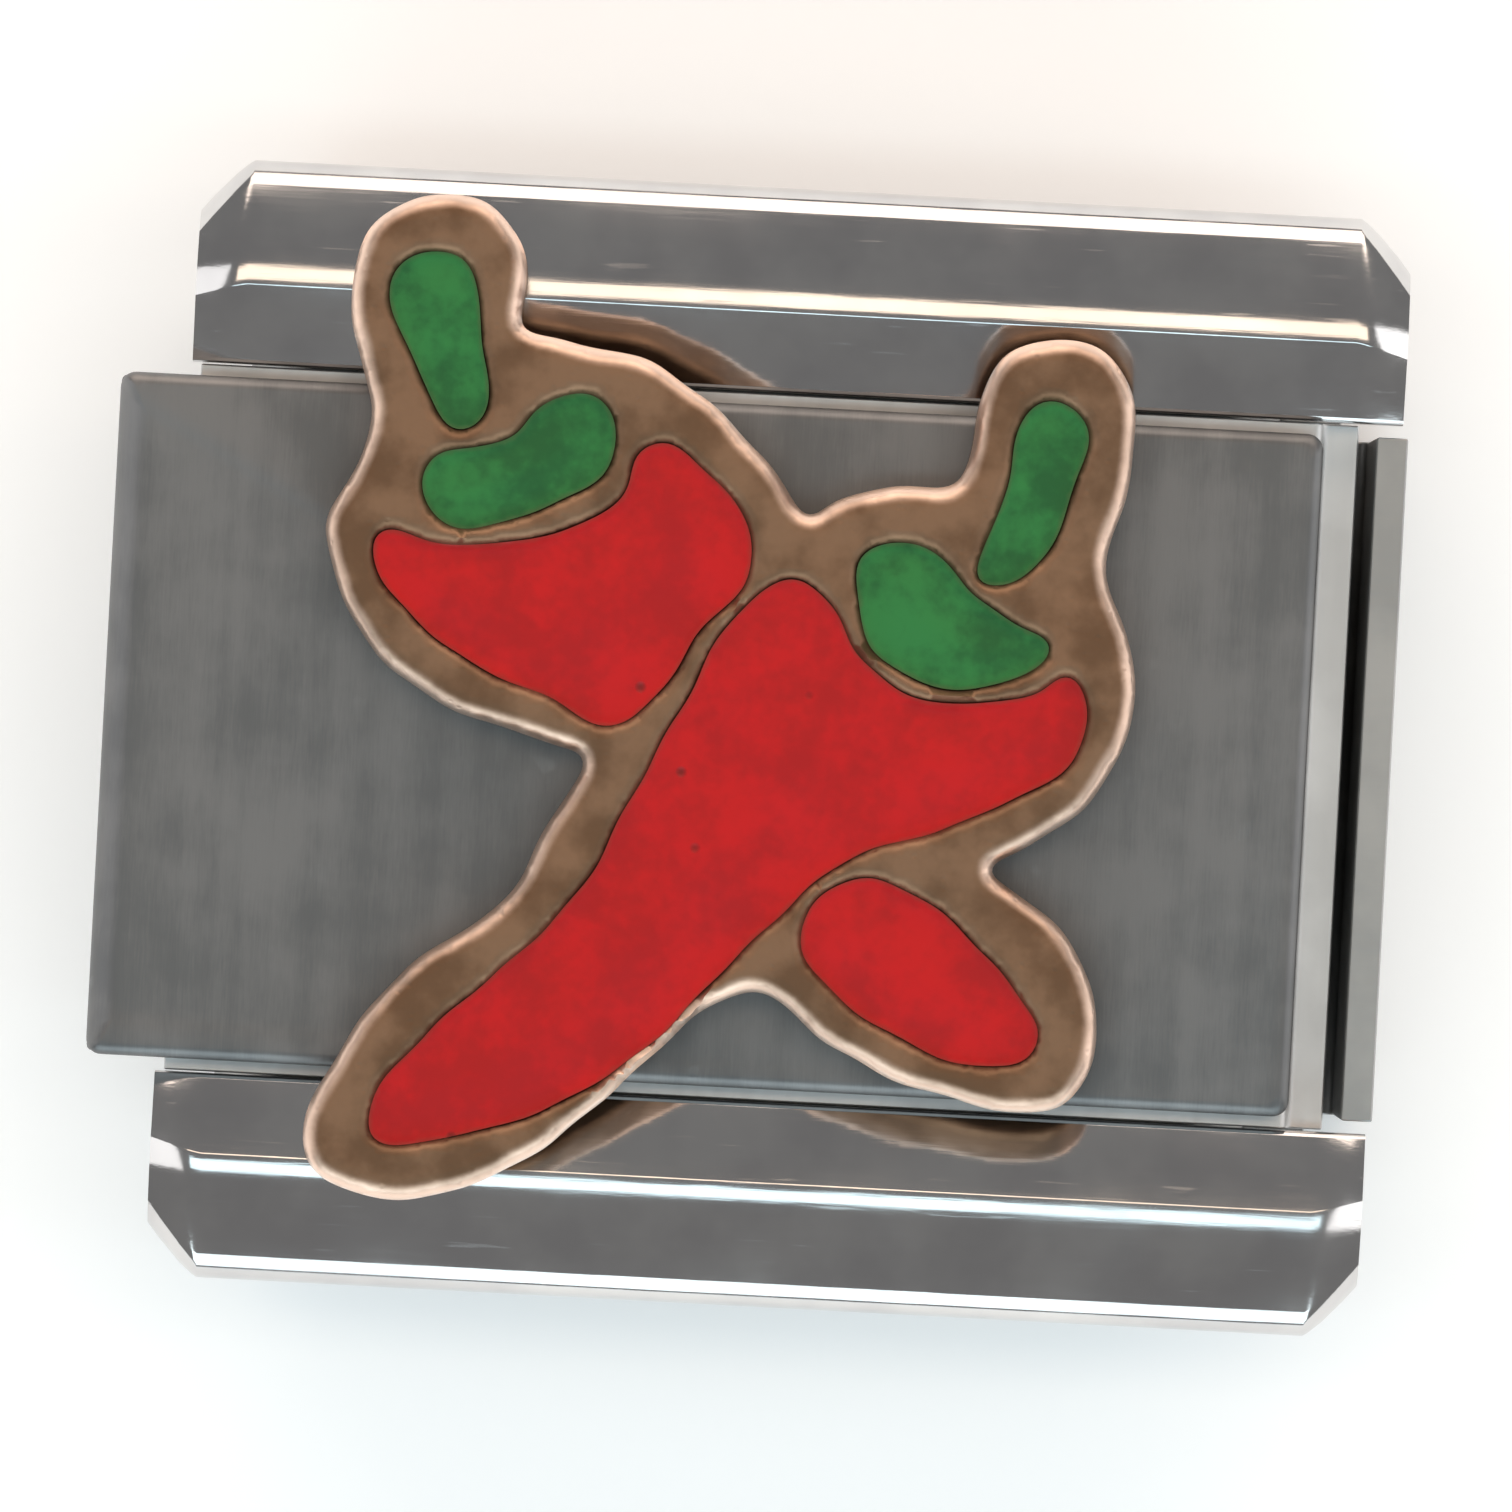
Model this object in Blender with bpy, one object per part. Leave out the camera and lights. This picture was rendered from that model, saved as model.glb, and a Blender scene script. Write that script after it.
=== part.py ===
# Spring link of a charm bracelet with an enamelled motif of two crossed chilli peppers.
#
# The link lies on its back with its face up. +X runs along the bracelet, +Y across it and
# +Z out of the face. The origin is the middle of the rails, on the underside of the lower
# case. Every dimension below is in millimetres; MM turns them into metres.

import math

import bmesh
import bpy
import numpy as np

MM = 0.001
GAP = 0.02                      # clearance between fixed pieces that touch
ARC_STEPS = 5                   # straight pieces in a quarter round
LOOP_STEPS = 3                  # straight pieces between two points of a smooth outline

# Link body: two polished rails on a channelled floor
RAIL_HALF_LENGTH = 4.87
BAND_HALF_WIDTH = 4.50
CHANNEL_HALF_WIDTH = 2.85
RAIL_FOOT_Z = 1.30
FLOOR_BOTTOM_Z = 2.38
FLOOR_TOP_Z = 2.66
RAIL_CREST_Z = 2.96
RAIL_WALL = 0.30                # outer wall beside the brackets
END_SLOPE_LENGTH = 0.40         # rail ends fall away over this length
END_CUT = 0.42                  # how much narrower the end faces are on each side
END_DROP = 0.13                 # how much lower the end faces are
LEDGE_TOP_Z = 2.32
LEDGE_END_X = 4.53
CHANNEL_OPEN_LEFT_X = -4.80
FLOOR_END_X = 4.24
MOUTH_RELIEF = 0.03             # the channel is this much wider at its open ends

# Face plate with its down-turned coupling lip
PLATE_LEFT_X = -5.43
PLATE_RIGHT_X = 4.23
PLATE_HALF_WIDTH = 2.74
PLATE_BOTTOM_Z = FLOOR_TOP_Z + GAP
PLATE_TOP_Z = 3.08
LIP_BOTTOM_Z = 2.36
LIP_THICKNESS = 0.28

# Upper case, a folded tube that holds the brackets' upper legs
CASE_HALF_WIDTH = 3.85
UPPER_BOTTOM_Z = 1.26
UPPER_TOP_Z = FLOOR_BOTTOM_Z - GAP
UPPER_LEFT_X = -4.35
UPPER_RIGHT_X = 3.90
UPPER_SLOT_HALF = 1.20          # half the slot between the bottom lips
UPPER_SHEET = 0.20

# Lower case, a folded tube whose floor turns up into the latch lip
LOWER_TOP_Z = 1.20
LOWER_LEFT_X = -4.45
LOWER_TOP_END_X = 3.60
LATCH_X = 4.92
LATCH_TOP_Z = 2.62
LATCH_HALF_WIDTH = 2.75
LATCH_START_X = 4.45
LOWER_SHEET = 0.25

# Side brackets: a web outside the cases and two legs that reach into them
UPPER_AXIS = (-3.00, 1.81)      # x and z of the upper legs' axis
LOWER_AXIS = (LOWER_LEFT_X + LOWER_TOP_Z / 2, LOWER_TOP_Z / 2)
LEG_WIDTH = 0.42
LEG_THICKNESS = 0.20
LEG_REACH_Y = 2.20              # the legs' tips
WEB_INNER_Y = 3.90
WEB_OUTER_Y = 4.14
WEB_RADIUS = 0.26

# Leaf springs, one in each case
SPRING_THICKNESS = 0.09
SPRING_WIDTH = 0.50
SPRING_HALF_LENGTH = 3.60
SPRING_BOW_HALF = 2.10          # the bowed middle, half its length
SPRING_STEPS = 12

# Motif: a cast plate with pockets, filled with enamel
PAD_RADIUS = 0.75
PAD_CENTRES = ((-1.9, 0.9), (1.2, 0.0))
PAD_TOP_Z = 3.16
MOTIF_BOTTOM_Z = PAD_TOP_Z + GAP
MOTIF_TOP_Z = 3.98
POCKET_FLOOR_Z = 3.58
ENAMEL_TOP_Z = 3.93
EDGE_BEVEL = 0.05

# Smooth closed outlines seen from above, x and y
MOTIF_OUTLINE = [
    (-2.89, 4.26), (-2.50, 4.19), (-2.22, 3.78), (-2.24, 3.24), (-1.93, 3.16), (-1.28, 3.05),
    (-0.78, 2.79), (-0.36, 2.41), (-0.06, 2.07), (0.14, 1.83), (0.38, 2.01), (0.86, 2.13),
    (1.26, 2.16), (1.42, 2.43), (1.45, 2.87), (1.60, 3.20), (2.00, 3.38), (2.40, 3.31),
    (2.69, 2.94), (2.68, 2.30), (2.53, 1.64), (2.60, 1.33), (2.77, 0.93), (2.81, 0.54),
    (2.70, 0.05), (2.44, -0.37), (2.05, -0.67), (1.70, -0.87), (1.91, -1.04), (2.20, -1.22),
    (2.50, -1.57), (2.63, -1.96), (2.62, -2.37), (2.48, -2.69), (2.24, -2.79), (1.76, -2.77),
    (1.11, -2.61), (0.54, -2.36), (0.20, -2.09), (-0.09, -1.93), (-0.52, -2.13), (-0.98, -2.60),
    (-1.36, -2.98), (-1.74, -3.32), (-2.21, -3.59), (-2.68, -3.73), (-3.04, -3.75), (-3.41, -3.65),
    (-3.62, -3.42), (-3.60, -3.10), (-3.39, -2.61), (-3.01, -2.06), (-2.63, -1.72), (-2.24, -1.46),
    (-2.02, -1.17), (-1.84, -0.76), (-1.66, -0.43), (-1.51, -0.18), (-1.76, -0.07), (-2.24, 0.05),
    (-2.74, 0.22), (-3.15, 0.50), (-3.49, 0.92), (-3.70, 1.55), (-3.59, 1.88), (-3.42, 2.21),
    (-3.37, 2.53), (-3.47, 2.85), (-3.59, 3.25), (-3.59, 3.65), (-3.46, 3.99), (-3.19, 4.21),
]
ENAMEL_CELLS = {
    "green_left_stem": [
        (-2.97, 3.80), (-2.72, 3.76), (-2.59, 3.46), (-2.56, 3.06), (-2.48, 2.70), (-2.55, 2.46),
        (-2.73, 2.42), (-2.88, 2.60), (-3.04, 2.95), (-3.23, 3.26), (-3.27, 3.54), (-3.16, 3.73),
    ],
    "green_left_calyx": [
        (-2.95, 2.00), (-2.84, 2.20), (-2.52, 2.24), (-2.21, 2.36), (-2.02, 2.61), (-1.74, 2.72),
        (-1.50, 2.63), (-1.44, 2.40), (-1.55, 2.07), (-1.86, 1.88), (-2.25, 1.71), (-2.65, 1.63),
        (-2.88, 1.76),
    ],
    "red_left_body": [
        (-3.32, 1.49), (-3.13, 1.56), (-2.72, 1.46), (-2.16, 1.51), (-1.61, 1.71), (-1.30, 1.98),
        (-1.24, 2.25), (-1.00, 2.36), (-0.58, 2.04), (-0.33, 1.73), (-0.34, 1.33), (-0.53, 1.08),
        (-0.76, 0.83), (-0.98, 0.41), (-1.36, 0.11), (-1.77, 0.29), (-2.43, 0.54), (-2.93, 0.87),
        (-3.23, 1.18),
    ],
    "red_right_body": [
        (-0.14, 1.26), (0.10, 1.35), (0.40, 1.05), (0.53, 0.80), (0.90, 0.50), (1.43, 0.40),
        (1.99, 0.50), (2.30, 0.70), (2.44, 0.35), (2.26, -0.06), (1.79, -0.34), (1.25, -0.61),
        (0.69, -0.78), (0.31, -1.06), (0.00, -1.40), (-0.38, -1.80), (-0.83, -2.31),
        (-1.29, -2.69), (-1.84, -3.01), (-2.39, -3.20), (-2.87, -3.32), (-3.10, -3.23),
        (-3.06, -2.95), (-2.86, -2.66), (-2.48, -2.24), (-1.99, -1.77), (-1.61, -1.35),
        (-1.36, -0.97), (-1.15, -0.48), (-0.95, -0.07), (-0.73, 0.35), (-0.56, 0.76), (-0.36, 1.07),
    ],
    "green_right_stem": [
        (1.98, 2.86), (2.23, 2.79), (2.32, 2.56), (2.22, 2.19), (2.08, 1.78), (1.90, 1.49),
        (1.70, 1.40), (1.50, 1.43), (1.53, 1.63), (1.67, 1.92), (1.74, 2.24), (1.76, 2.61),
    ],
    "green_right_calyx": [
        (0.57, 1.54), (0.76, 1.67), (1.04, 1.65), (1.29, 1.50), (1.48, 1.27), (1.78, 1.08),
        (2.08, 0.98), (2.09, 0.82), (1.74, 0.62), (1.34, 0.56), (0.98, 0.65), (0.70, 0.85),
        (0.60, 1.18),
    ],
    "red_left_tip": [
        (0.25, -1.49), (0.39, -1.20), (0.70, -1.02), (1.03, -1.07), (1.36, -1.27), (1.70, -1.57),
        (2.04, -1.92), (2.19, -2.19), (2.02, -2.41), (1.58, -2.42), (1.09, -2.25), (0.59, -1.95),
        (0.32, -1.69),
    ],
}


def clear_scene():
    for item in list(bpy.data.objects):
        bpy.data.objects.remove(item, do_unlink=True)


def make_material(name, colour, metallic, roughness):
    material = bpy.data.materials.new(name)
    material.use_nodes = True
    shader = material.node_tree.nodes["Principled BSDF"]
    shader.inputs["Base Color"].default_value = (*colour, 1.0)
    shader.inputs["Metallic"].default_value = metallic
    shader.inputs["Roughness"].default_value = roughness
    return material


def add_object(name, shape, pivot=(0.0, 0.0, 0.0)):
    """Scale the shape to metres about the pivot and put it in the scene."""
    for vertex in shape.verts:
        vertex.co = [(value - centre) * MM for value, centre in zip(vertex.co, pivot)]
    bmesh.ops.recalc_face_normals(shape, faces=shape.faces)
    mesh = bpy.data.meshes.new(name)
    shape.to_mesh(mesh)
    shape.free()
    item = bpy.data.objects.new(name, mesh)
    bpy.context.scene.collection.objects.link(item)
    item.location = [value * MM for value in pivot]
    return item


def add_piece(name, shape, material, pivot=(0.0, 0.0, 0.0), parent=None):
    item = add_object(name, shape, pivot)
    item.data.materials.append(material)
    item.data.shade_smooth()
    item.data.set_sharp_from_angle(angle=math.radians(30))
    if parent is not None:
        item.parent = parent
        item.location = (0.0, 0.0, 0.0)
    return item


def add_cutter(name, shape, pivot=(0.0, 0.0, 0.0), parent=None):
    item = add_object(name, shape, pivot)
    item.hide_render = True
    item.display_type = "WIRE"
    if parent is not None:
        item.parent = parent
        item.location = (0.0, 0.0, 0.0)
    return item


def add_axis(name, pivot, parent=None, parent_pivot=(0.0, 0.0, 0.0)):
    """Empty on a joint's axis; the moving pieces hang on it."""
    axis = bpy.data.objects.new(name, None)
    bpy.context.scene.collection.objects.link(axis)
    axis.parent = parent
    axis.location = [(value - origin) * MM for value, origin in zip(pivot, parent_pivot)]
    return axis


def combine(item, other, operation):
    modifier = item.modifiers.new(operation.lower() + "_" + other.name, "BOOLEAN")
    modifier.operation = operation
    modifier.solver = "EXACT"
    modifier.object = other


def bevel_edges(item, width):
    modifier = item.modifiers.new("edge_round", "BEVEL")
    modifier.width = width * MM
    modifier.segments = 1
    modifier.limit_method = "ANGLE"
    modifier.angle_limit = math.radians(50)


def in_plane(axis, first, second, along):
    """Put a point of an outline's plane and its distance along the axis in X, Y, Z order."""
    if axis == "X":
        return (along, first, second)
    if axis == "Y":
        return (first, along, second)
    return (first, second, along)


def prism(outline, axis, low, high):
    """Closed prism: an outline across the axis, carried from low to high along it."""
    shape = bmesh.new()
    ring = [shape.verts.new(in_plane(axis, first, second, low)) for first, second in outline]
    face = shape.faces.new(ring)
    grown = bmesh.ops.extrude_face_region(shape, geom=[face])["geom"]
    moved = [item for item in grown if isinstance(item, bmesh.types.BMVert)]
    bmesh.ops.translate(shape, verts=moved, vec=in_plane(axis, 0.0, 0.0, high - low))
    return shape


def block(low, high):
    outline = [(low[0], low[1]), (high[0], low[1]), (high[0], high[1]), (low[0], high[1])]
    return prism(outline, "Z", low[2], high[2])


def rounded_path(corners):
    """Open or closed run of corners (x, z, radius), each corner turned on an arc."""
    path = []
    for index, (x, z, radius) in enumerate(corners):
        if radius == 0.0:
            path.append((x, z))
            continue
        corner = np.array((x, z))
        before = np.array(corners[index - 1][:2]) - corner
        after = np.array(corners[(index + 1) % len(corners)][:2]) - corner
        before = before / np.linalg.norm(before)
        after = after / np.linalg.norm(after)
        centre = corner + radius * (before + after)          # the corners here are square
        for step in range(ARC_STEPS + 1):
            turn = 0.5 * math.pi * step / ARC_STEPS
            point = centre - radius * (after * math.cos(turn) + before * math.sin(turn))
            path.append((float(point[0]), float(point[1])))
    return path


def sheet_strip(path, stations, missing=None):
    """Surface swept along Y from a path in X and Z, with a vertex row at each station.

    missing(x, z, y) names the quads that are left out, by the quad's middle.
    """
    shape = bmesh.new()
    rows = [[shape.verts.new((x, y, z)) for x, z in path] for y in stations]
    for row, upper_row, low, high in zip(rows, rows[1:], stations, stations[1:]):
        for index in range(len(path) - 1):
            middle_x = 0.5 * (path[index][0] + path[index + 1][0])
            middle_z = 0.5 * (path[index][1] + path[index + 1][1])
            if missing is not None and missing(middle_x, middle_z, 0.5 * (low + high)):
                continue
            corners = (row[index], row[index + 1], upper_row[index + 1], upper_row[index])
            shape.faces.new(corners)
    loose = [vertex for vertex in shape.verts if not vertex.link_faces]
    bmesh.ops.delete(shape, geom=loose, context="VERTS")
    return shape


def thicken(item, thickness, side):
    """Give a sheet its thickness, on the side of its normals (1) or behind them (-1)."""
    modifier = item.modifiers.new("sheet", "SOLIDIFY")
    modifier.thickness = thickness * MM
    modifier.offset = side
    modifier.use_even_offset = True


def smooth_loop(points, grow=0.0):
    """Closed Catmull-Rom curve through the points, moved outwards by grow."""
    knots = np.array(points)
    before, after, beyond = (np.roll(knots, shift, axis=0) for shift in (1, -1, -2))
    curve = []
    for step in range(LOOP_STEPS):
        t = step / LOOP_STEPS
        curve.append(0.5 * (2 * knots + (after - before) * t
                            + (2 * before - 5 * knots + 4 * after - beyond) * t ** 2
                            + (3 * knots - before - 3 * after + beyond) * t ** 3))
    loop = np.stack(curve, axis=1).reshape(-1, 2)
    ahead = np.roll(loop, -1, axis=0) - np.roll(loop, 1, axis=0)
    ahead /= np.linalg.norm(ahead, axis=1)[:, None]
    area = np.sum(loop[:, 0] * np.roll(loop[:, 1], -1) - loop[:, 1] * np.roll(loop[:, 0], -1))
    outwards = np.sign(area) * np.stack((ahead[:, 1], -ahead[:, 0]), axis=1)
    return [tuple(point) for point in loop + grow * outwards]


def rail_section(end):
    """Ring of points (y, z) round the link body; end is 0 in the middle, 1 at an end face."""
    half_width = BAND_HALF_WIDTH - END_CUT * end
    drop = END_DROP * end
    roll_radius = 0.28
    rail = [
        (CHANNEL_HALF_WIDTH, RAIL_CREST_Z - 0.15 - drop),
        (CHANNEL_HALF_WIDTH + 0.06, RAIL_CREST_Z - 0.10 - drop),
        (3.48 - 0.1 * end, RAIL_CREST_Z - 0.01 - drop),
        (3.62 - 0.1 * end, RAIL_CREST_Z - drop),
        (3.76 - 0.1 * end, RAIL_CREST_Z - 0.01 - drop),
    ]
    roll_top = RAIL_CREST_Z - 0.08 - drop
    for step in range(ARC_STEPS + 1):
        turn = 0.5 * math.pi * step / ARC_STEPS
        y = half_width - roll_radius * (1.0 - math.sin(turn))
        rail.append((y, roll_top - roll_radius * (1.0 - math.cos(turn))))
    rail.append((half_width, RAIL_FOOT_Z))
    half = [(CHANNEL_HALF_WIDTH, FLOOR_TOP_Z)] + rail
    return half + [(-y, z) for y, z in reversed(half)]


def body_shell():
    """Loft of the rail sections from one end face to the other."""
    shape = bmesh.new()
    full = RAIL_HALF_LENGTH - END_SLOPE_LENGTH
    stations = ((-RAIL_HALF_LENGTH, 1.0), (-full, 0.0), (full, 0.0), (RAIL_HALF_LENGTH, 1.0))
    rings = []
    for x, end in stations:
        rings.append([shape.verts.new((x, y, z)) for y, z in rail_section(end)])
    for ring, next_ring in zip(rings, rings[1:]):
        for index in range(len(ring)):
            after = (index + 1) % len(ring)
            shape.faces.new((ring[index], next_ring[index], next_ring[after], ring[after]))
    shape.faces.new(rings[0])
    shape.faces.new(rings[-1])
    return shape


def make_link_body(steel):
    body = add_piece("link_body", body_shell(), steel)
    inside = BAND_HALF_WIDTH - RAIL_WALL
    past = RAIL_HALF_LENGTH + 1.0
    channel = CHANNEL_HALF_WIDTH + MOUTH_RELIEF
    pocket = add_cutter("underside_pocket", block((-past, -inside, 1.0), (past, inside, FLOOR_BOTTOM_Z)))
    left = add_cutter("channel_mouth_left", block((-past, -channel, 2.0), (CHANNEL_OPEN_LEFT_X, channel, 3.5)))
    right = add_cutter("channel_mouth_right", block((FLOOR_END_X, -channel, 2.0), (past, channel, 3.5)))
    for cutter in (left, right, pocket):
        combine(body, cutter, "DIFFERENCE")
    riser_left = FLOOR_END_X - 0.28
    ledge_bottom = LEDGE_TOP_Z - 0.28
    joggle = [(riser_left, ledge_bottom), (LEDGE_END_X, ledge_bottom), (LEDGE_END_X, LEDGE_TOP_Z),
              (FLOOR_END_X - 0.03, LEDGE_TOP_Z), (FLOOR_END_X - 0.03, 2.50), (riser_left, 2.50)]
    ledge = add_cutter("ledge", prism(joggle, "Y", -channel + 0.05, channel - 0.05))
    combine(body, ledge, "UNION")
    return body


def make_face_plate(steel):
    corners = [(PLATE_LEFT_X, LIP_BOTTOM_Z, 0.0), (PLATE_LEFT_X, PLATE_TOP_Z, 0.22),
               (PLATE_RIGHT_X, PLATE_TOP_Z, 0.0), (PLATE_RIGHT_X, PLATE_BOTTOM_Z, 0.0),
               (PLATE_LEFT_X + LIP_THICKNESS, PLATE_BOTTOM_Z, 0.0),
               (PLATE_LEFT_X + LIP_THICKNESS, LIP_BOTTOM_Z, 0.0)]
    shape = prism(rounded_path(corners), "Y", -PLATE_HALF_WIDTH, PLATE_HALF_WIDTH)
    plate = add_piece("face_plate", shape, steel)
    bevel_edges(plate, 0.06)
    return plate


def make_upper_case(steel):
    fold = 0.5 * (UPPER_TOP_Z - UPPER_BOTTOM_Z)
    corners = [(-UPPER_SLOT_HALF, UPPER_BOTTOM_Z, 0.0), (UPPER_LEFT_X, UPPER_BOTTOM_Z, fold),
               (UPPER_LEFT_X, UPPER_TOP_Z, fold), (UPPER_RIGHT_X, UPPER_TOP_Z, fold),
               (UPPER_RIGHT_X, UPPER_BOTTOM_Z, fold), (UPPER_SLOT_HALF, UPPER_BOTTOM_Z, 0.0)]
    shape = sheet_strip(rounded_path(corners), (-CASE_HALF_WIDTH, CASE_HALF_WIDTH))
    case = add_piece("upper_case", shape, steel)
    thicken(case, UPPER_SHEET, sheet_side(case))
    return case


def sheet_side(item):
    """Side of the normals that faces the inside of a folded case."""
    centre = np.mean([vertex.co for vertex in item.data.vertices], axis=0)
    outwards = 0.0
    for polygon in item.data.polygons:
        outwards += np.dot(np.array(polygon.center) - centre, polygon.normal)
    return -1.0 if outwards > 0.0 else 1.0


def make_lower_case(steel, axis, pivot):
    fold = 0.5 * LOWER_TOP_Z
    flange_z = LOWER_SHEET + 0.05
    corners = [(LOWER_TOP_END_X, flange_z, 0.0), (LOWER_TOP_END_X, LOWER_TOP_Z, 0.30),
               (LOWER_LEFT_X, LOWER_TOP_Z, fold), (LOWER_LEFT_X, 0.0, fold),
               (LATCH_START_X, 0.0, 0.0), (LATCH_X, 0.0, 0.35), (LATCH_X, LATCH_TOP_Z, 0.0)]
    stations = (-CASE_HALF_WIDTH, -LATCH_HALF_WIDTH, LATCH_HALF_WIDTH, CASE_HALF_WIDTH)

    def beside_latch(x, z, y):
        return x > LATCH_START_X and abs(y) > LATCH_HALF_WIDTH

    shape = sheet_strip(rounded_path(corners), stations, beside_latch)
    case = add_piece("lower_case", shape, steel, pivot, axis)
    thicken(case, LOWER_SHEET, sheet_side(case))
    return case


def make_bracket(name, side, steel, axis, pivot):
    """Staple on one side: a web round both leg axes and a flat leg on each."""
    run = np.array(LOWER_AXIS) - np.array(UPPER_AXIS)
    heading = math.atan2(run[1], run[0])
    web_outline = []
    for centre, start in ((UPPER_AXIS, heading + 0.5 * math.pi), (LOWER_AXIS, heading - 0.5 * math.pi)):
        for step in range(2 * ARC_STEPS + 1):
            turn = start + math.pi * step / (2 * ARC_STEPS)
            web_outline.append((centre[0] + WEB_RADIUS * math.cos(turn),
                                centre[1] + WEB_RADIUS * math.sin(turn)))
    near, far = sorted((side * WEB_INNER_Y, side * WEB_OUTER_Y))
    bracket = add_piece(name, prism(web_outline, "Y", near, far), steel, pivot, axis)
    for leg_name, centre in (("upper_leg", UPPER_AXIS), ("lower_leg", LOWER_AXIS)):
        ends = sorted((side * LEG_REACH_Y, side * (WEB_INNER_Y + 0.12)))
        shape = block((centre[0] - LEG_WIDTH / 2, ends[0], centre[1] - LEG_THICKNESS / 2),
                      (centre[0] + LEG_WIDTH / 2, ends[1], centre[1] + LEG_THICKNESS / 2))
        leg = add_cutter(name + "_" + leg_name, shape, pivot, axis)
        combine(bracket, leg, "UNION")
    return bracket


def spring_outline(end_z, middle_z):
    """Bowed strip in Y and Z: flat ends at end_z, its middle at middle_z."""
    stations = np.linspace(-SPRING_HALF_LENGTH, SPRING_HALF_LENGTH, SPRING_STEPS + 1)
    share = np.clip(np.abs(stations) / SPRING_BOW_HALF, 0.0, 1.0)
    level = end_z + (middle_z - end_z) * np.cos(0.5 * math.pi * share) ** 2
    upper = [(float(y), float(z) + SPRING_THICKNESS / 2) for y, z in zip(stations, level)]
    lower = [(float(y), float(z) - SPRING_THICKNESS / 2) for y, z in zip(stations, level)]
    return upper + lower[::-1]


def make_springs(steel, lower_axis, lower_pivot):
    rest = LEG_THICKNESS / 2 + 0.01 + SPRING_THICKNESS / 2
    cavity = 0.35
    seat = cavity - 0.01 - SPRING_THICKNESS / 2
    upper = prism(spring_outline(UPPER_AXIS[1] + rest, UPPER_AXIS[1] + seat), "X",
                  UPPER_AXIS[0] - SPRING_WIDTH / 2, UPPER_AXIS[0] + SPRING_WIDTH / 2)
    add_piece("upper_spring", upper, steel)
    lower = prism(spring_outline(LOWER_AXIS[1] - rest, LOWER_AXIS[1] - seat), "X",
                  LOWER_AXIS[0] - 0.02, LOWER_AXIS[0] - 0.02 + SPRING_WIDTH)
    add_piece("lower_spring", lower, steel, lower_pivot, lower_axis)


def make_solder_pads(solder):
    for index, (x, y) in enumerate(PAD_CENTRES, start=1):
        shape = bmesh.new()
        bmesh.ops.create_cone(shape, cap_ends=True, segments=20, radius1=PAD_RADIUS,
                              radius2=PAD_RADIUS * 0.92, depth=PAD_TOP_Z - PLATE_TOP_Z - GAP)
        middle_z = 0.5 * (PAD_TOP_Z + PLATE_TOP_Z + GAP)
        bmesh.ops.translate(shape, verts=shape.verts, vec=(x, y, middle_z))
        add_piece("solder_pad_" + str(index), shape, solder)


def make_motif(gold, enamels):
    outline = smooth_loop(MOTIF_OUTLINE)
    casting = add_piece("pepper_plate", prism(outline, "Z", MOTIF_BOTTOM_Z, MOTIF_TOP_Z), gold)
    bevel_edges(casting, EDGE_BEVEL)
    for name, points in ENAMEL_CELLS.items():
        pocket = prism(smooth_loop(points, GAP), "Z", POCKET_FLOOR_Z, MOTIF_TOP_Z + 0.5)
        combine(casting, add_cutter("pocket_" + name, pocket), "DIFFERENCE")
        fill = prism(smooth_loop(points), "Z", POCKET_FLOOR_Z + GAP, ENAMEL_TOP_Z)
        add_piece(name, fill, enamels[name.split("_")[0]])


def build():
    clear_scene()
    polished = make_material("polished_steel", (0.62, 0.61, 0.60), 1.0, 0.12)
    brushed = make_material("brushed_steel", (0.45, 0.45, 0.45), 1.0, 0.35)
    plain = make_material("plain_steel", (0.50, 0.50, 0.50), 1.0, 0.28)
    sprung = make_material("spring_steel", (0.40, 0.41, 0.43), 1.0, 0.30)
    gold = make_material("rose_gold", (0.55, 0.36, 0.22), 1.0, 0.30)
    solder = make_material("solder", (0.60, 0.60, 0.58), 1.0, 0.45)
    enamels = {"red": make_material("red_enamel", (0.52, 0.0, 0.003), 0.0, 0.35),
               "green": make_material("green_enamel", (0.02, 0.19, 0.04), 0.0, 0.35)}

    upper_pivot = (UPPER_AXIS[0], 0.0, UPPER_AXIS[1])
    lower_pivot = (LOWER_AXIS[0], 0.0, LOWER_AXIS[1])
    upper_axis = add_axis("bracket_swing_axis", upper_pivot)
    lower_axis = add_axis("case_tilt_axis", lower_pivot, upper_axis, upper_pivot)

    make_link_body(polished)
    make_face_plate(brushed)
    make_upper_case(plain)
    for name, side in (("bracket_top", 1), ("bracket_bottom", -1)):
        make_bracket(name, side, plain, upper_axis, upper_pivot)
    make_springs(sprung, lower_axis, lower_pivot)
    make_lower_case(plain, lower_axis, lower_pivot)
    make_solder_pads(solder)
    make_motif(gold, enamels)


build()
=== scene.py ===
import math

import bpy
import numpy as np
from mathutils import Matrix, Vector
from mathutils.geometry import delaunay_2d_cdt


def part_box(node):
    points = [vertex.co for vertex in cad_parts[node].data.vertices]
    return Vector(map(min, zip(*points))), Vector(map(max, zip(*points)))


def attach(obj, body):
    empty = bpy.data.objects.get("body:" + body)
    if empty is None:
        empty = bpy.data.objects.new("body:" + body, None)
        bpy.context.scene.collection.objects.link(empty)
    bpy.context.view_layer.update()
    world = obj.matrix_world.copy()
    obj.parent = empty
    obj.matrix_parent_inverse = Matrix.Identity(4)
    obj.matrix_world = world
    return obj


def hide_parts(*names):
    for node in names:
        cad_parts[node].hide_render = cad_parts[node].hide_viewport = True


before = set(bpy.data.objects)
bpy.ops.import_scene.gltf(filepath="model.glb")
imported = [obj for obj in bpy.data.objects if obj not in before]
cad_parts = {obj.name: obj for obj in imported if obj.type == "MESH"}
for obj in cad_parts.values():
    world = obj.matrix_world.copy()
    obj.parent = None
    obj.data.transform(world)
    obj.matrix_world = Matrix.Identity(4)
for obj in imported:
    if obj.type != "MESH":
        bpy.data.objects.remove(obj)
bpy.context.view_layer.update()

mm = 0.001
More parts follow.
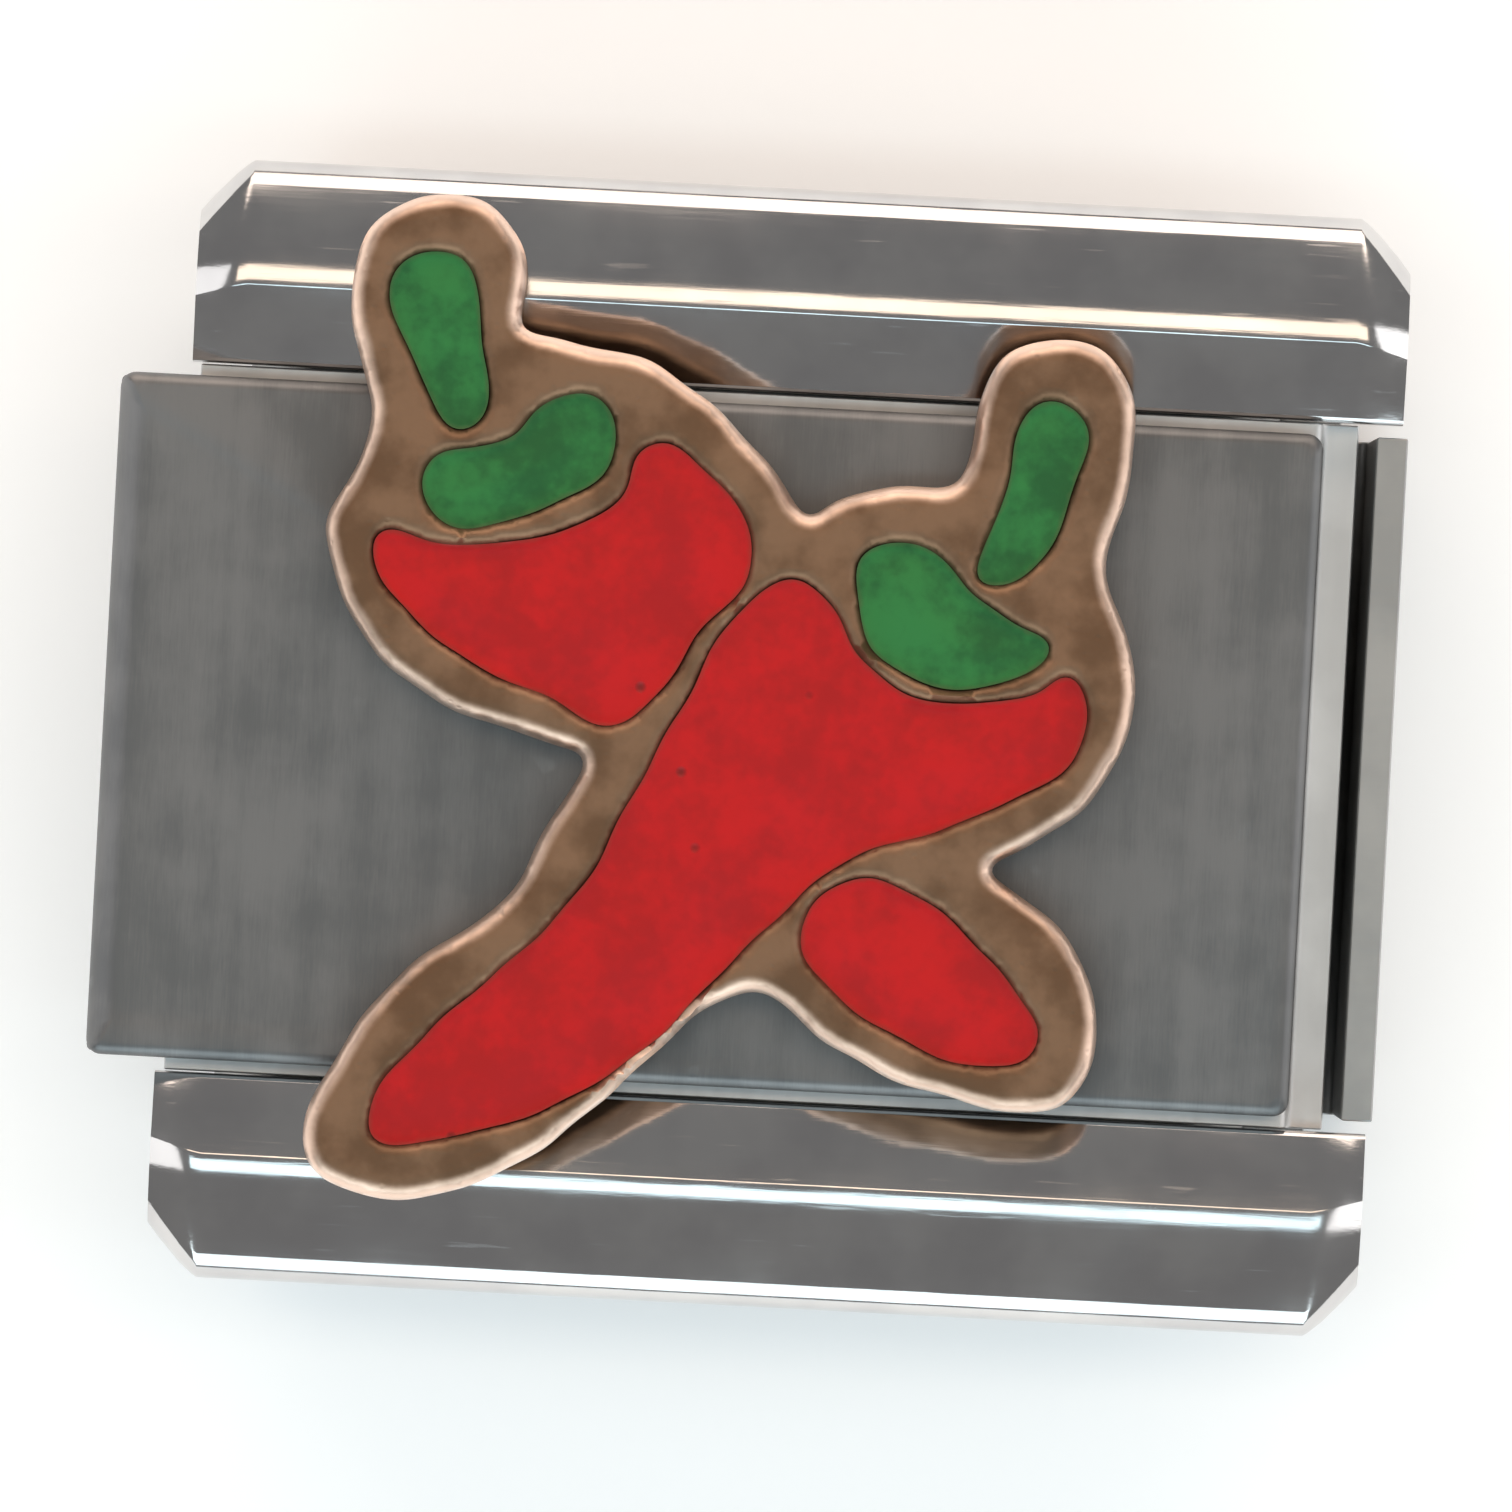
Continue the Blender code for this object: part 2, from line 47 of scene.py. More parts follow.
print("frame loaded:", len(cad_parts), "nodes")


# One socket of a node tree; arithmetic on it adds Math nodes.
class Value:
    def __init__(self, tree, socket):
        self.tree = tree
        self.socket = socket

    def maths(self, operation, *others, swap=False):
        values = [self, *others]
        if swap:
            values.reverse()
        return self.tree.node("ShaderNodeMath", {"operation": operation}, dict(enumerate(values)))

    def __add__(self, other):
        return self.maths("ADD", other)

    __radd__ = __add__

    def __sub__(self, other):
        return self.maths("SUBTRACT", other)

    def __rsub__(self, other):
        return self.maths("SUBTRACT", other, swap=True)

    def __mul__(self, other):
        return self.maths("MULTIPLY", other)

    __rmul__ = __mul__

    # Share of the way from low to high, held between 0 and 1.
    def clamp(self, low, high):
        settings = {"interpolation_type": "SMOOTHSTEP"}
        sockets = {"Value": self, "From Min": low, "From Max": high}
        return self.tree.node("ShaderNodeMapRange", settings, sockets)


# A material in the making: fixed values go straight on its shader, the rest comes through nodes.
class Finish:
    def __init__(self, name, metallic=0.0, **fixed):
        self.material = bpy.data.materials.new(name)
        self.material.use_nodes = True
        self.nodes = self.material.node_tree.nodes
        self.links = self.material.node_tree.links
        self.shader = self.nodes["Principled BSDF"]
        self.shader.inputs["Metallic"].default_value = metallic
        for socket, value in fixed.items():
            self.shader.inputs[socket.replace("_", " ")].default_value = value

    def put(self, socket, value):
        if isinstance(value, Value):
            self.links.new(value.socket, socket)
        else:
            socket.default_value = value

    # Adds one node: settings first, then the values or links of its sockets.
    def node(self, kind, settings, sockets, output=0):
        made = self.nodes.new(kind)
        for setting, value in settings.items():
            setattr(made, setting, value)
        for key, value in sockets.items():
            self.put(made.inputs[key], value)
        return Value(self, made.outputs[output])

    # Object coordinates in millimetres, stretched along the axes.
    def point(self, stretch=(1.0, 1.0, 1.0)):
        here = self.node("ShaderNodeTexCoord", {}, {}, "Object")
        scale = tuple(value / mm for value in stretch)
        return self.node("ShaderNodeVectorMath", {"operation": "MULTIPLY"}, {0: here, 1: scale})

    def noise(self, scale, detail=3.0, stretch=(1.0, 1.0, 1.0), roughness=0.5):
        sockets = {"Vector": self.point(stretch), "Scale": scale, "Detail": detail, "Roughness": roughness}
        return self.node("ShaderNodeTexNoise", {"noise_dimensions": "3D"}, sockets)

    def cells(self, scale, stretch=(1.0, 1.0, 1.0)):
        sockets = {"Vector": self.point(stretch), "Scale": scale}
        return self.node("ShaderNodeTexVoronoi", {"feature": "F1"}, sockets, "Distance")

    def attribute(self, name):
        return self.node("ShaderNodeAttribute", {"attribute_name": name}, {}, "Fac")

    # Colour between first and second.
    def mix(self, share, first, second):
        made = self.nodes.new("ShaderNodeMix")
        made.data_type = "RGBA"
        for key, value in ((0, share), (6, first), (7, second)):
            if isinstance(value, tuple):
                value = (*value, 1.0)
            self.put(made.inputs[key], value)
        return Value(self, made.outputs[2])

    # Joins colour, roughness and the bump's relief (height in mm) to the shader.
    def finish(self, colour, roughness, relief=None, height=0.0):
        if isinstance(colour, tuple):
            colour = (*colour, 1.0)
        self.put(self.shader.inputs["Base Color"], colour)
        self.put(self.shader.inputs["Roughness"], roughness)
        if relief is not None:
            sockets = {"Height": relief, "Strength": 1.0, "Distance": height * mm}
            self.put(self.shader.inputs["Normal"], self.node("ShaderNodeBump", {}, sockets))
        return self.material


# Bright rails: faint lengthwise polishing lines, soft waviness and a few stray scratches.
def polishedSteel():
    made = Finish("polishedSteel", metallic=1.0)
    lines = made.noise(9.0, 4.0, (0.16, 3.0, 3.0))
    cloud = made.noise(1.3, 3.0)
    scratches = made.noise(2.2, 2.0, (0.5, 9.0, 3.0)).clamp(0.66, 0.74)
    smudge = made.noise(0.8, 2.0).clamp(0.45, 0.75)
    colour = made.mix(cloud.clamp(0.3, 0.7), (0.60, 0.585, 0.585), (0.70, 0.685, 0.675))
    roughness = 0.06 + 0.05 * lines + 0.05 * smudge + 0.10 * scratches
    waves = made.noise(0.5, 1.0, (0.5, 1.0, 1.0))
    return made.finish(colour, roughness, 0.08 * lines + waves, 0.005)


# Matt plate: short grain across the plate, blotches of tone, a few handling marks.
def satinSteel():
    made = Finish("satinSteel", metallic=1.0)
    grain = made.noise(11.0, 5.0, (5.0, 0.35, 1.0), 0.6)
    stripes = made.noise(1.6, 2.0, (2.6, 0.05, 1.0))
    blotch = made.noise(1.1, 4.0)
    marks = made.noise(3.0, 1.0, (1.0, 1.0, 1.0)).clamp(0.70, 0.76)
    tone = (0.55 * blotch + 0.25 * stripes + 0.20 * grain).clamp(0.38, 0.62)
    colour = made.mix(tone, (0.150, 0.152, 0.154), (0.215, 0.213, 0.213))
    roughness = 0.33 + 0.16 * grain + 0.10 * blotch - 0.08 * marks
    return made.finish(colour, roughness, 0.8 * grain + 0.3 * blotch, 0.0012)


# Plain rolled sheet: long rolling lines and slight tarnish.
def caseSteel(name, tone):
    made = Finish(name, metallic=1.0)
    rolling = made.noise(7.0, 4.0, (0.12, 2.4, 2.4))
    cloud = made.noise(0.9, 4.0)
    rub = made.noise(2.6, 2.0, (1.0, 0.3, 1.0)).clamp(0.62, 0.7)
    dull = (tone, tone, 0.99 * tone)
    bright = (1.25 * tone, 1.23 * tone, 1.2 * tone)
    colour = made.mix(cloud.clamp(0.35, 0.68), dull, bright)
    roughness = 0.24 + 0.16 * rolling + 0.08 * cloud + 0.08 * rub
    return made.finish(colour, roughness, 0.7 * rolling - 0.3 * rub, 0.0012)


# Bare pressed strip, paler and less polished than the rails.
def brightSteel():
    made = Finish("brightSteel", metallic=1.0)
    lines = made.noise(6.0, 4.0, (2.6, 0.2, 2.0))
    cloud = made.noise(1.1, 4.0)
    colour = made.mix(cloud.clamp(0.35, 0.65), (0.66, 0.655, 0.65), (0.76, 0.755, 0.75))
    return made.finish(colour, 0.40 + 0.12 * lines + 0.08 * cloud, 0.6 * lines + 0.3 * cloud, 0.001)


# Plated casting: brown patina on the flats, a painted highlight on the rounded edges that fades to brown down
# the side walls.
def roseGold():
    made = Finish("roseGold", metallic=1.0)
    rim = made.attribute("rim")
    cloud = made.noise(2.2, 4.0)
    grain = made.noise(16.0, 4.0)
    pores = made.cells(7.0).clamp(0.0, 0.22)
    # Painted highlight: the pale pink (0.92, 0.68, 0.55) is mixed in by rim on the rounded edges and broken up
    # by cloud; it also lowers the roughness there.
    paintedHighlight = (rim + 0.45 * (cloud - 0.5)).clamp(0.30, 0.95)
    patina = made.mix(cloud.clamp(0.35, 0.65), (0.17, 0.098, 0.058), (0.27, 0.160, 0.098))
    colour = made.mix(paintedHighlight, patina, (0.92, 0.68, 0.55))
    roughness = 0.40 - 0.15 * paintedHighlight + 0.12 * grain + 0.08 * cloud
    return made.finish(colour, roughness, 0.3 * grain + 0.6 * cloud + 0.3 * pores, 0.010)


# Fired colour: slight mottling, a painted shade darkening the rim by the metal, small pits.
def softEnamel(name, deep, bright, paintedShade):
    made = Finish(name, Coat_Roughness=0.3, Specular_IOR_Level=0.25)
    made.shader.inputs["Coat Weight"].default_value = 0.15
    rim = made.attribute("rim")
    cloud = made.noise(1.7, 4.0)
    speck = made.noise(9.0, 3.0)
    pits = 1.0 - made.cells(1.25).clamp(0.015, 0.07)
    body = made.mix((0.7 * cloud + 0.3 * speck).clamp(0.36, 0.64), deep, bright)
    # Painted shade: the enamel turns to the darker colour towards the metal wall; the pits take a quarter of
    # that colour.
    edged = made.mix((rim + 0.6 * (speck - 0.5)).clamp(0.45, 1.2), body, paintedShade)
    colour = made.mix(pits * 0.7, edged, tuple(value * 0.25 for value in paintedShade))
    roughness = 0.36 + 0.12 * speck + 0.10 * cloud
    return made.finish(colour, roughness, 0.35 * cloud + 0.25 * speck - 0.9 * pits, 0.018)


finishes = {
    "polished": polishedSteel(),
    "satin": satinSteel(),
    "bright": brightSteel(),
    "case": caseSteel("caseSteel", 0.33),
    "spring": caseSteel("springSteel", 0.28),
    "solder": caseSteel("solderMetal", 0.48),
    "gold": roseGold(),
    # Enamels: deep and bright colour, then the painted shade colour used along the metal wall.
    "red": softEnamel("redEnamel", (0.380, 0.0002, 0.0015), (0.520, 0.0004, 0.0020), (0.300, 0.020, 0.012)),
    "green": softEnamel("greenEnamel", (0.008, 0.095, 0.020), (0.022, 0.185, 0.040), (0.050, 0.110, 0.030)),
}
print("finishes made:", len(finishes))


# Points in millimetres and lists of faces become one object at the origin.
# rim is 1 at a piece's edge and 0 away from it: it places the painted highlight on the casting's rounded edges
# and the painted shade on each enamel's edge.
def makePiece(name, points, faces, finish, body, smoothAngle=40.0, rim=None):
    mesh = bpy.data.meshes.new(name)
    mesh.from_pydata((np.asarray(points) * mm).tolist(), [], [list(face) for face in faces])
    mesh.validate()
    if rim is not None:
        layer = mesh.attributes.new("rim", "FLOAT", "POINT")
        layer.data.foreach_set("value", np.asarray(rim, dtype=np.float32))
    mesh.materials.append(finishes[finish])
    mesh.shade_smooth()
    mesh.set_sharp_from_angle(angle=math.radians(smoothAngle))
    piece = bpy.data.objects.new(name, mesh)
    bpy.context.scene.collection.objects.link(piece)
    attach(piece, body)
    return piece


# Quads between successive rings of count points each, with a cap on the first and last.
def ringGrid(rings, count):
    start = np.arange(rings - 1)[:, None] * count
    here = np.arange(count)[None, :]
    after = (here + 1) % count
    quads = np.stack((start + here, start + after, start + count + after, start + count + here), axis=-1)
    faces = quads.reshape(-1, 4).tolist()
    faces.append(list(range(count))[::-1])
    faces.append(list(range((rings - 1) * count, rings * count)))
    return faces


# Turns every face over if the closed shape's volume comes out negative.
def orient(points, faces):
    points = np.asarray(points)
    volume = 0.0
    for face in faces:
        a, b, c = points[face[0]], points[face[1:-1]], points[face[2:]]
        volume += float(np.sum(np.cross(b, c) @ a))
    return faces if volume > 0 else [list(face)[::-1] for face in faces]


# Points on a circle from angle first to angle last, in degrees.
def arc(centre, radius, first, last, steps):
    turn = np.radians(np.linspace(first, last, steps + 1))
    return np.stack((centre[0] + radius * np.cos(turn), centre[1] + radius * np.sin(turn)), axis=1)


# Rounds the edges that turn by more than the angle.
def addBevel(piece, width, segments=3, angle=35.0):
    bevel = piece.modifiers.new("edgeRound", "BEVEL")
    bevel.width = width * mm
    bevel.segments = segments
    bevel.limit_method = "ANGLE"
    bevel.angle_limit = math.radians(angle)
    bevel.harden_normals = True


# Outline in X and Z carried straight along Y from low to high, as two capped rings.
def carryOutline(outline, low, high):
    outline = np.asarray(outline)
    across, upright = outline[:, 0], outline[:, 1]
    rings = [np.column_stack((across, np.full(len(outline), y), upright)) for y in (low, high)]
    points = np.concatenate(rings)
    return points, orient(points, ringGrid(2, len(outline)))


# Low and high corner of a CAD node in millimetres.
def nodeBox(node):
    low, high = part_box(node)
    return np.array(low) / mm, np.array(high) / mm


# Closed loops where the node's upright walls pass height z, in millimetres, largest first.
# Each face that crosses the height gives one short line, and lines that share an end are joined.
def levelLoops(node, z):
    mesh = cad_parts[node].data
    coords = np.array([vertex.co[:] for vertex in mesh.vertices]) / mm
    links = {}
    for polygon in mesh.polygons:
        heights = coords[list(polygon.vertices), 2]
        if heights.min() >= z or heights.max() <= z:
            continue
        cut = []
        corners = list(polygon.vertices)
        for a, b in zip(corners, corners[1:] + corners[:1]):
            pa, pb = coords[a], coords[b]
            if (pa[2] - z) * (pb[2] - z) < 0:
                share = (z - pa[2]) / (pb[2] - pa[2])
                spot = pa + share * (pb - pa)
                cut.append((round(float(spot[0]), 4), round(float(spot[1]), 4)))
        if len(cut) == 2 and cut[0] != cut[1]:
            links.setdefault(cut[0], set()).add(cut[1])
            links.setdefault(cut[1], set()).add(cut[0])
    loops = []
    while links:
        start = min(links)
        loop, spot = [start], start
        while True:
            ways = links.pop(spot)
            ways = [way for way in ways if way in links]
            if not ways:
                break
            spot = min(ways)
            loop.append(spot)
        if len(loop) > 8:
            loops.append(np.array(loop))
    return sorted(loops, key=lambda loop: -abs(loopArea(loop)))


# Signed area: half the sum of cross products of neighbouring points, positive when anticlockwise.
def loopArea(loop):
    ahead = np.roll(loop, -1, axis=0)
    return 0.5 * float(np.sum(loop[:, 0] * ahead[:, 1] - loop[:, 1] * ahead[:, 0]))


outlineSettings = {"spacing": 0.045, "smoothing": 6, "wobble": 0.011}


# The loop turned anticlockwise, divided evenly and smoothed.
# A slight wobble, sines of the place, keeps it from looking machine cut.
def evenLoop(loop):
    if loopArea(loop) < 0:
        loop = loop[::-1]
    closed = np.concatenate((loop, loop[:1]))
    run = np.concatenate(([0.0], np.cumsum(np.linalg.norm(np.diff(closed, axis=0), axis=1))))
    count = int(run[-1] / outlineSettings["spacing"])
    spots = np.linspace(0.0, run[-1], count, endpoint=False)
    even = np.stack([np.interp(spots, run, closed[:, axis]) for axis in (0, 1)], axis=1)
    for _ in range(outlineSettings["smoothing"]):
        even = 0.5 * even + 0.25 * (np.roll(even, 1, axis=0) + np.roll(even, -1, axis=0))
    x, y = even[:, 0], even[:, 1]
    sideways = np.sin(9.1 * x + 4.3 * y)
    lengthways = np.sin(8.3 * y - 5.7 * x + 1.0)
    return even + outlineSettings["wobble"] * np.stack((sideways, lengthways), axis=1)


# Which points are within the loop, by counting crossings to the right.
def inside(points, loop):
    result = np.zeros(len(points), dtype=bool)
    for a, b in zip(loop, np.roll(loop, -1, axis=0)):
        spans = (a[1] > points[:, 1]) != (b[1] > points[:, 1])
        reach = a[0] + (points[:, 1] - a[1]) * (b[0] - a[0]) / (b[1] - a[1] + 1e-12)
        result ^= spans & (points[:, 0] < reach)
    return result


# Distance from each point to the closest point of the loop.
def nearest(points, loop):
    best = np.full(len(points), 1e9)
    for start in range(0, len(points), 4000):
        chunk = points[start:start + 4000]
        gaps = np.linalg.norm(chunk[:, None, :] - loop[None, :, :], axis=2)
        best[start:start + 4000] = gaps.min(axis=1)
    return best


# Triangles over the region inside outer and outside the holes, with an even grid of points.
def fillRegion(outer, holes, spacing):
    low, high = outer.min(axis=0), outer.max(axis=0)
    across = np.arange(low[0], high[0], spacing)
    along = np.arange(low[1], high[1], spacing)
    grid = np.stack(np.meshgrid(across, along), axis=-1).reshape(-1, 2)
    grid[:, 0] += 0.25 * spacing * np.sin(grid[:, 1] * 40.0)
    keep = inside(grid, outer) & (nearest(grid, outer) > 0.55 * spacing)
    for hole in holes:
        keep &= ~inside(grid, hole) & (nearest(grid, hole) > 0.55 * spacing)
    loops = [outer] + list(holes)
    points = np.concatenate(loops + [grid[keep]])
    edges = []
    start = 0
    for loop in loops:
        count = len(loop)
        edges += [(start + index, start + (index + 1) % count) for index in range(count)]
        start += count
    spots, _, faces, _, _, _ = delaunay_2d_cdt([Vector(point) for point in points], edges, [], 0, 1e-7)
    spots = np.array([spot[:] for spot in spots])
    faces = np.array([face[:] for face in faces if len(face) == 3])
    middles = spots[faces].mean(axis=1)
    used = inside(middles, outer)
    for hole in holes:
        used &= ~inside(middles, hole)
    return spots[:len(points)], faces[used], [len(loop) for loop in loops]


# Drop of a quarter-round edge: radius at the very edge, nothing beyond radius from it.
def quarter(distance, radius):
    share = np.clip(1.0 - distance / radius, 0.0, 1.0)
    return radius * (1.0 - np.sqrt(1.0 - share ** 2))


# Loop repeated at each height, moved inwards at right angles by the inset that goes with it.
def wallRings(loop, heights, insets):
    ahead = np.roll(loop, -1, axis=0) - np.roll(loop, 1, axis=0)
    ahead /= np.linalg.norm(ahead, axis=1)[:, None]
    inwards = np.stack((-ahead[:, 1], ahead[:, 0]), axis=1)
    rings = []
    for height, inset in zip(heights, insets):
        flat = loop + inset * inwards
        rings.append(np.column_stack((flat, np.full(len(loop), height))))
    return rings


castingSettings = {
    "edgeRadius": 0.15, "cellRadius": 0.06, "spacing": 0.05, "cutDepth": 0.12, "dip": 0.014, "swell": 0.012,
    "footRadius": 0.06, "footStep": 0.018, "wallRows": 5, "underEnamel": 0.02,
}


# Casting: height = top, with a slow swell, minus the larger of two quarter rounds, one off
# the outer edge and one off the nearest cell's edge. Walls go straight down from every edge.
def makeCasting():
    low, high = nodeBox("pepper_plate")
    loops = [evenLoop(loop) for loop in levelLoops("pepper_plate", high[2] - castingSettings["cutDepth"])]
    outer, cells = loops[0], loops[1:]
    spots, faces, counts = fillRegion(outer, cells, castingSettings["spacing"])
    edgeGap = nearest(spots, outer)
    edgeGap[:counts[0]] = 0.0
    cellGap = np.min([nearest(spots, cell) for cell in cells], axis=0)
    start = counts[0]
    for count in counts[1:]:
        cellGap[start:start + count] = 0.0
        start += count
    radius = castingSettings["edgeRadius"]
    swell = castingSettings["swell"] * np.sin(spots[:, 0] * 3.1 + 0.7) * np.sin(spots[:, 1] * 2.7)
    drop = np.maximum(quarter(edgeGap, radius), quarter(cellGap, castingSettings["cellRadius"]))
    height = high[2] - castingSettings["dip"] + swell - drop
    points = [np.column_stack((spots, height))]
    # rim: 1 at the outer rounded edge, where roseGold puts its painted highlight.
    rim = [np.clip(1.0 - edgeGap / (1.3 * radius), 0.0, 1.0)]
    quads = []
    total = len(spots)
    foot, step, rows = castingSettings["footRadius"], castingSettings["footStep"], castingSettings["wallRows"]
    levels = np.linspace(high[2] - radius, low[2] + foot, rows + 1)[1:]
    rings = wallRings(outer, [*levels, low[2] + step, low[2]], [0.0] * rows + [step, foot])
    ringStart = 0
    count = counts[0]
    here = np.arange(count)
    after = (here + 1) % count
    for index, ring in enumerate(rings):
        points.append(ring)
        # Wall rows: rim falls row by row towards the foot, so the wall is painted lighter at its top and
        # darker, as painted shade, lower down.
        rim.append(np.full(count, 0.45 - 0.08 * index))
        band = np.stack((ringStart + here, total + here, total + after, ringStart + after), axis=1)
        quads += band.tolist()
        ringStart = total
        total += count
    caps = [list(range(ringStart, ringStart + count))[::-1]]
    loopStart = counts[0]
    floor = nodeBox("red_right_body")[0][2] - castingSettings["underEnamel"]
    for cell, count in zip(cells, counts[1:]):
        ring = np.column_stack((cell, np.full(count, floor)))
        points.append(ring)
        rim.append(np.zeros(count))
        here = np.arange(count)
        after = (here + 1) % count
        band = np.stack((loopStart + after, total + after, total + here, loopStart + here), axis=1)
        quads += band.tolist()
        caps.append(list(range(total, total + count)))
        loopStart += count
        total += count
    allFaces = faces.tolist() + quads + caps
    piece = makePiece("goldCasting", np.concatenate(points), allFaces, "gold", "upper_link",
                      60.0, np.concatenate(rim))
    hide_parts("pepper_plate")
    print("gold casting:", len(allFaces), "faces")


# The last width sets how far the enamel's painted shade reaches in from the metal wall.
enamelSettings = {
    "grow": 0.018, "spacing": 0.05, "edgeDepth": 0.045, "creep": 0.028, "creepWidth": 0.05,
    "crown": 0.035, "crownWidth": 0.35, "uneven": 0.010, "evenWidth": 0.2, "paintedShadeWidth": 0.055,
}


# Filled cell: height = edge level + a creep that dies away from the wall + a crown that grows
# away from it + product of two sines, so that no two cells are quite alike.
def makeEnamel(node, colour, index):
    low, high = nodeBox(node)
    loop = evenLoop(levelLoops(node, 0.5 * (low[2] + high[2]))[0])
    loop = wallRings(loop, [0.0], [-enamelSettings["grow"]])[0][:, :2]
    spots, faces, counts = fillRegion(loop, [], enamelSettings["spacing"])
    gap = nearest(spots, loop)
    gap[:counts[0]] = 0.0
    ripple = np.sin(spots[:, 0] * 5.3 + index) * np.sin(spots[:, 1] * 4.1 + 2.0 * index)
    uneven = enamelSettings["uneven"] * ripple * np.clip(gap / enamelSettings["evenWidth"], 0.0, 1.0)
    crown = enamelSettings["crown"] * (1.0 - np.exp(-gap / enamelSettings["crownWidth"]))
    creep = enamelSettings["creep"] * np.exp(-gap / enamelSettings["creepWidth"])
    height = high[2] - enamelSettings["edgeDepth"] + creep + crown + uneven
    top = np.column_stack((spots, height))
    count = counts[0]
    below = np.column_stack((loop, np.full(count, low[2])))
    here = np.arange(count)
    after = (here + 1) % count
    total = len(spots)
    quads = np.stack((here, total + here, total + after, after), axis=1).tolist()
    caps = [list(range(total, total + count))[::-1]]
    # rim: 1 at the cell's edge, dying away inwards; it places the enamel's painted shade along the metal wall.
    rim = np.concatenate((np.exp(-gap / enamelSettings["paintedShadeWidth"]), np.ones(count)))
    piece = makePiece("enamel_" + node, np.concatenate((top, below)), faces.tolist() + quads + caps,
                      colour, "upper_link", 50.0, rim)
    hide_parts(node)


makeCasting()
enamelNodes = ["red_left_body", "red_right_body", "red_left_tip", "green_left_stem",
               "green_left_calyx", "green_right_stem", "green_right_calyx"]
for index, node in enumerate(enamelNodes):
    makeEnamel(node, node.split("_")[0], index)
print("enamel cells:", len(enamelNodes))


plateSettings = {
    "cornerRadius": 0.13, "cornerSteps": 8, "edgeRadius": 0.10, "rollRadius": 0.26, "levels": 10,
    "underside": 2.68, "sideStep": 0.4, "lip": 0.28, "lipRound": 0.05, "lipMargin": 0.02, "lipOverlap": 0.03,
}


# Rounded rectangle stacked in rings: at turn t a ring is drawn in by radius times (1 - cos t)
# and lies below the top by radius times (1 - sin t). The radius is larger at the left end.
def makeFacePlate():
    low, high = nodeBox("face_plate")
    lipBottom, top = low[2], high[2]
    bottom = plateSettings["underside"]
    radius, cornerSteps = plateSettings["cornerRadius"], plateSettings["cornerSteps"]
    corners = []
    for cornerX, cornerY, first in ((high[0], high[1], 0.0), (low[0], high[1], 90.0),
                                    (low[0], low[1], 180.0), (high[0], low[1], 270.0)):
        centre = (cornerX - math.copysign(radius, cornerX), cornerY - math.copysign(radius, cornerY))
        corners.append(arc(centre, radius, first, first + 90.0, cornerSteps))
    ring = np.concatenate(corners)
    steps = []
    for a, b in zip(ring, np.roll(ring, -1, axis=0)):
        pieces = max(1, int(np.linalg.norm(b - a) / plateSettings["sideStep"]))
        steps.append(a + (b - a) * np.arange(pieces)[:, None] / pieces)
    ring = np.concatenate(steps)
    leftness = np.clip(1.0 - (ring[:, 0] - low[0]) / 0.05, 0.0, 1.0) ** 2
    small, large = plateSettings["edgeRadius"], plateSettings["rollRadius"]
    edge = small + (large - small) * leftness
    middle = np.array([0.5 * (low[0] + high[0]), 0.0])
    half = np.array([0.5 * (high[0] - low[0]), high[1]])
    rings = [np.column_stack((ring, np.full(len(ring), bottom)))]
    for turn in np.linspace(0.0, 0.5 * math.pi, plateSettings["levels"] + 1):
        inset = edge * (1.0 - math.cos(turn))
        shrink = 1.0 - inset[:, None] / half
        flat = middle + (ring - middle) * shrink
        rings.append(np.column_stack((flat, top - edge * (1.0 - math.sin(turn)))))
    points = np.concatenate(rings)
    faces = orient(points, ringGrid(len(rings), len(ring)))
    plate = makePiece("satinPlate", points, faces, "satin", "upper_link")
    inner, lipTop = low[0] + plateSettings["lip"], bottom + plateSettings["lipOverlap"]
    lip = [(low[0], lipBottom), (inner, lipBottom), (inner, lipTop), (low[0], lipTop)]
    margin = plateSettings["lipMargin"]
    points, faces = carryOutline(lip, low[1] + margin, high[1] - margin)
    hook = makePiece("couplingLip", points, faces, "satin", "upper_link")
    addBevel(hook, plateSettings["lipRound"])
    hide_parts("face_plate")
    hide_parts("face_plate")


makeFacePlate()
print("face plate made")


railSettings = {
    "inner": 2.85, "innerDrop": 0.17, "innerWall": 0.05, "leadRadius": 0.05, "crestAt": 3.50,
    "crestShift": 0.25, "riseRadius": 0.10, "crestRadius": 1.50, "rollRadius": 0.30, "rollDrop": 0.10,
    "wall": 0.30, "footRadius": 0.04, "footRise": 0.06, "endLength": 0.42, "endCut": 0.42, "endDrop": 0.13,
    "barBottom": 2.38, "dropStart": 0.02, "dropSpan": 0.30, "middleMargin": 0.5, "middleStations": 13,
}


# Ring (y, z) round one rail: inner edge, first slope, crest, outer slope, roll, wall, underside.
# A short and a long arc meet at the crest, and the long one catches the light.
def railRing(inset, drop, top, outer, foot):
    inner, edge = railSettings["inner"], top - railSettings["innerDrop"]
    lead, rise, crest = railSettings["leadRadius"], railSettings["riseRadius"], railSettings["crestRadius"]
    roll, wall, bar = railSettings["rollRadius"], outer - inset, railSettings["barBottom"]
    crestAt = railSettings["crestAt"] - railSettings["crestShift"] * inset
    lower, soft = foot + railSettings["footRise"], railSettings["footRadius"]
    back = wall - railSettings["wall"]
    ring = np.concatenate((
        [(inner, edge - railSettings["innerWall"]), (inner, edge)],
        arc((inner + lead, edge), lead, 180.0, 100.0, 3),
        arc((crestAt, top - rise), rise, 99.0, 90.0, 2)[:-1],
        arc((crestAt, top - crest), crest, 90.0, 80.0, 8),
        arc((wall - roll, top - railSettings["rollDrop"] - roll), roll, 72.0, 0.0, 9),
        [(wall, lower), (wall - soft, foot), (back + soft, foot), (back, lower), (back, bar), (inner, bar)],
    ))
    share = np.clip((ring[:, 1] - bar - railSettings["dropStart"]) / railSettings["dropSpan"], 0.0, 1.0)
    ring[:, 1] -= drop * share
    return ring


